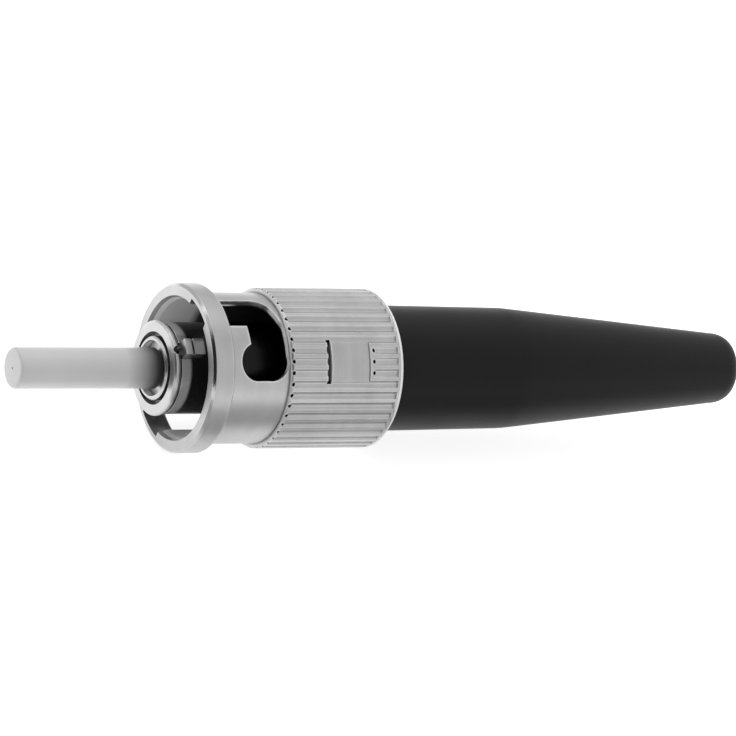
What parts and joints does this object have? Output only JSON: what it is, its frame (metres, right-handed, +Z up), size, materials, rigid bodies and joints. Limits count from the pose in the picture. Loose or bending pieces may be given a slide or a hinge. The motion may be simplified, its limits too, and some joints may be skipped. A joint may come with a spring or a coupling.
{
  "type": "bayonet fibre plug",
  "caption": "Fibre plug with a ceramic ferrule, a sprung bayonet coupling nut with two J-shaped slots and a tapered rubber boot.",
  "frame": {"origin": "on the plug's axis, at the front face of the ferrule's holder, where the ferrule comes out. The plug is round and rolls when it lies free, so it is held here, as a coupler holds it", "axes": "+X along the axis from the ferrule towards the boot and the cable, -X is the way the ferrule points, +Z up"},
  "size_m": [0.0509, 0.0102, 0.0102],
  "materials": {
    "ceramic": "fine ground light ceramic",
    "nickel": "bright turned, nickel plated",
    "nut_nickel": "satin nickel plating on turned brass",
    "spring_steel": "drawn spring steel",
    "tube_plastic": "smooth",
    "crimp_metal": "drawn tube",
    "boot_rubber": "smooth moulded black rubber"
  },
  "bodies": {
    "plug": {"ferrule": "ceramic", "ferrule_holder": "nickel", "plug_body": "nickel", "plug_key": "nickel", "coupling_spring": "spring_steel", "retaining_clip": "spring_steel", "lead_in_tube": "tube_plastic", "crimp_sleeve": "crimp_metal", "boot": "boot_rubber"},
    "slider": {"thrust_washer": "spring_steel"},
    "nut": {"coupling_nut": "nut_nickel"}
  },
  "joints": [
    {"name": "nut_push", "type": "slide", "parent": "plug", "child": "slider", "axis": [-1, 0, 0], "range_m": [0, 0.0015], "stiffness_N_per_m": 2000, "springref_m": -0.002, "deforming": ["coupling_spring"]},
    {"name": "nut_turn", "type": "hinge", "parent": "slider", "child": "nut", "pos_m": [0.0133, 0, 0], "axis": [1, 0, 0], "continuous": true}
  ]
}
